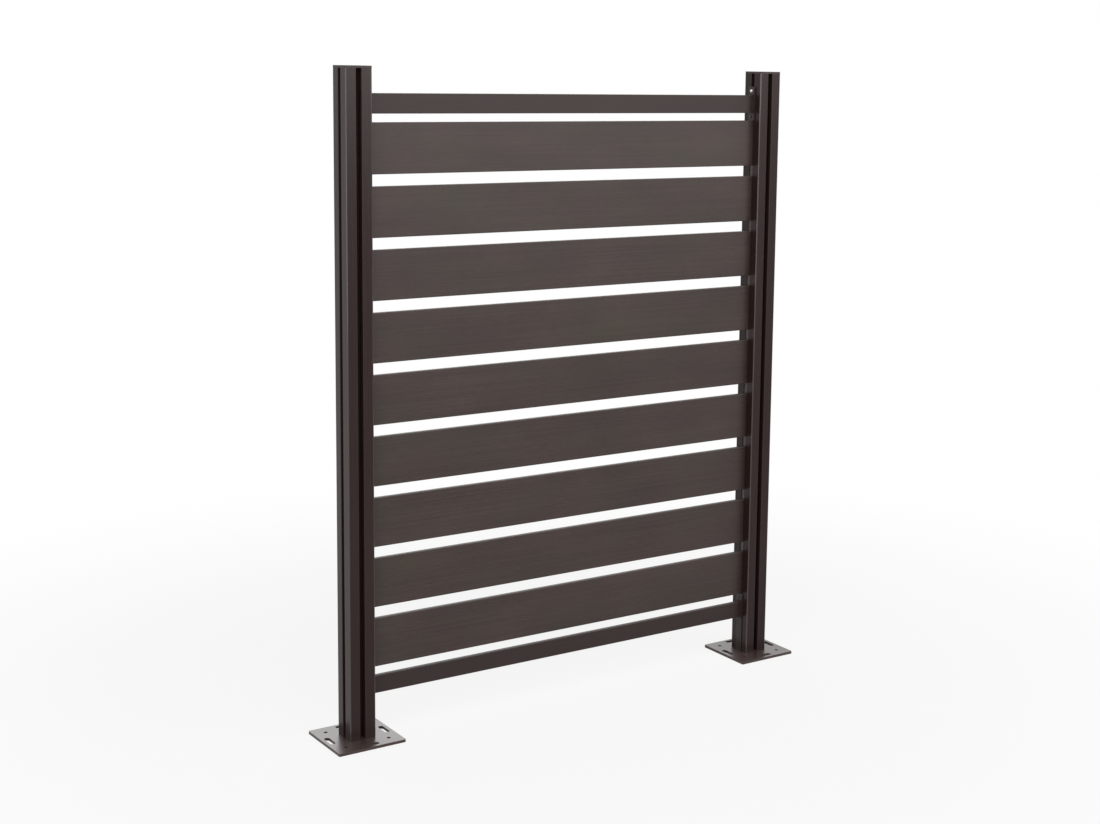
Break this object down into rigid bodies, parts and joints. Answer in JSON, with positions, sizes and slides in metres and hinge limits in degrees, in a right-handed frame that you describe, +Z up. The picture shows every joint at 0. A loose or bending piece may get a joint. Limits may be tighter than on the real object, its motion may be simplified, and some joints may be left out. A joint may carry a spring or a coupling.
{
  "type": "garden privacy screen",
  "caption": "Free-standing garden privacy screen: grooved square posts on slotted base plates hold a stack of wide horizontal slats between narrow rails.",
  "frame": {"origin": "on the ground, midway between the two posts and in the middle of their depth", "axes": "+X along the screen from the left post to the right post seen from the front, +Y from front to back, +Z up"},
  "size_m": [1.54, 0.195, 1.8],
  "materials": {
    "bronze_coat": "satin dark bronze powder coat on extruded aluminium",
    "spacer_plastic": "matte dark bronze moulded plastic",
    "zinc_steel": "bright zinc-plated steel"
  },
  "bodies": {
    "root": {"bottom_rail": "bronze_coat", "left_base_plate": "bronze_coat", "left_base_screws": "zinc_steel", "left_bottom_bracket": "bronze_coat", "left_bracket_screws": "zinc_steel", "left_post": "bronze_coat", "left_post_cap": "bronze_coat", "left_spacer_1": "spacer_plastic", "left_spacer_2": "spacer_plastic", "left_spacer_3": "spacer_plastic", "left_spacer_4": "spacer_plastic", "left_spacer_5": "spacer_plastic", "left_spacer_6": "spacer_plastic", "left_spacer_7": "spacer_plastic", "left_spacer_8": "spacer_plastic", "left_support_strip": "bronze_coat", "left_top_bracket": "bronze_coat", "right_base_plate": "bronze_coat", "right_base_screws": "zinc_steel", "right_bottom_bracket": "bronze_coat", "right_bracket_screws": "zinc_steel", "right_post": "bronze_coat", "right_post_cap": "bronze_coat", "right_spacer_1": "spacer_plastic", "right_spacer_2": "spacer_plastic", "right_spacer_3": "spacer_plastic", "right_spacer_4": "spacer_plastic", "right_spacer_5": "spacer_plastic", "right_spacer_6": "spacer_plastic", "right_spacer_7": "spacer_plastic", "right_spacer_8": "spacer_plastic", "right_support_strip": "bronze_coat", "right_top_bracket": "bronze_coat", "slat_1": "bronze_coat", "slat_2": "bronze_coat", "slat_3": "bronze_coat", "slat_4": "bronze_coat", "slat_5": "bronze_coat", "slat_6": "bronze_coat", "slat_7": "bronze_coat", "slat_8": "bronze_coat", "slat_9": "bronze_coat", "top_rail": "bronze_coat"}
  },
  "joints": []
}
